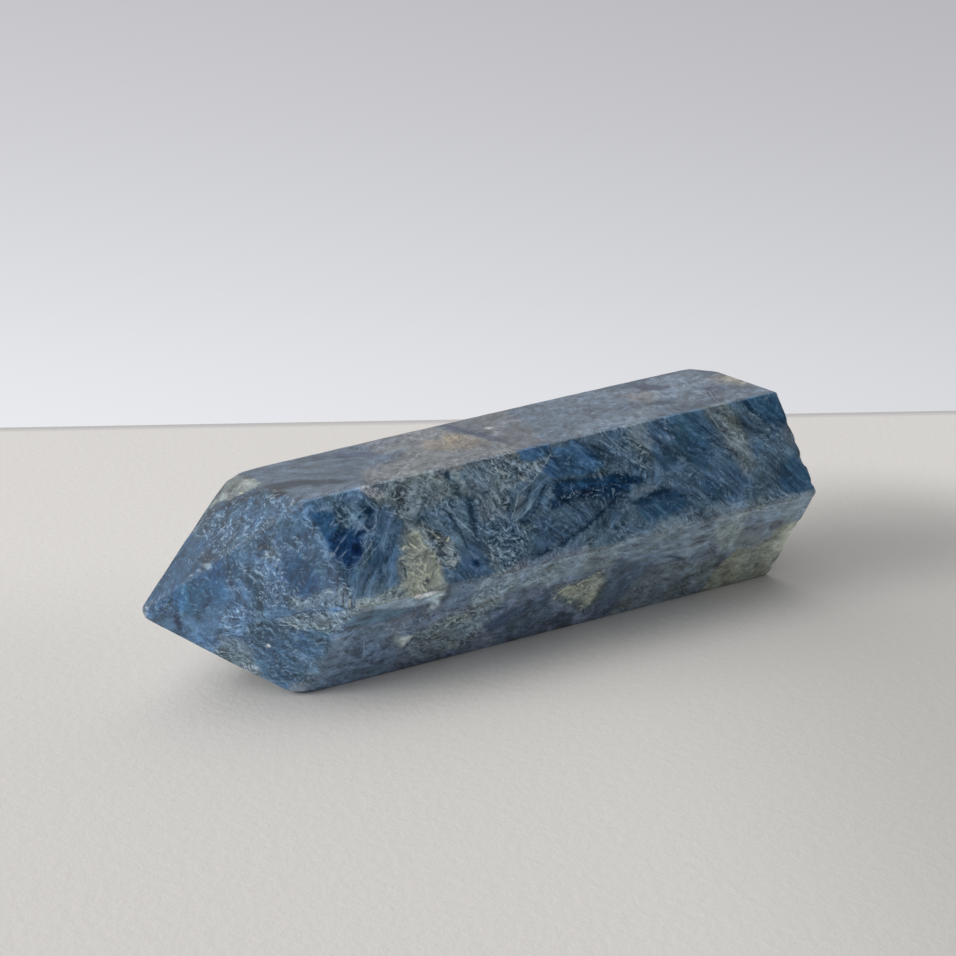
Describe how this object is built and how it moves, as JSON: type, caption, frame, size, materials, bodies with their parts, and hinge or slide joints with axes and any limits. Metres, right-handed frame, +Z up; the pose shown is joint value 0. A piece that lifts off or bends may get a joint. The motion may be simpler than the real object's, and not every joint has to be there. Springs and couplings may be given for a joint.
{
  "type": "polished kyanite point",
  "caption": "Polished kyanite point: a tapered hexagonal prism of blue-grey stone with a faceted tip and a flat sawn foot, lying on its side.",
  "frame": {"origin": "under the middle of the stone's bounding box, on the plane it rests on", "axes": "+X along the stone from the point to the sawn foot, +Z up from the prism face it lies on"},
  "size_m": [0.0796, 0.0268, 0.0234],
  "materials": {
    "kyanite": "polished, mottled deep blue to grey-green with cream patches and pale crinkled veins"
  },
  "bodies": {
    "root": {"kyanite_point": "kyanite"}
  },
  "joints": []
}
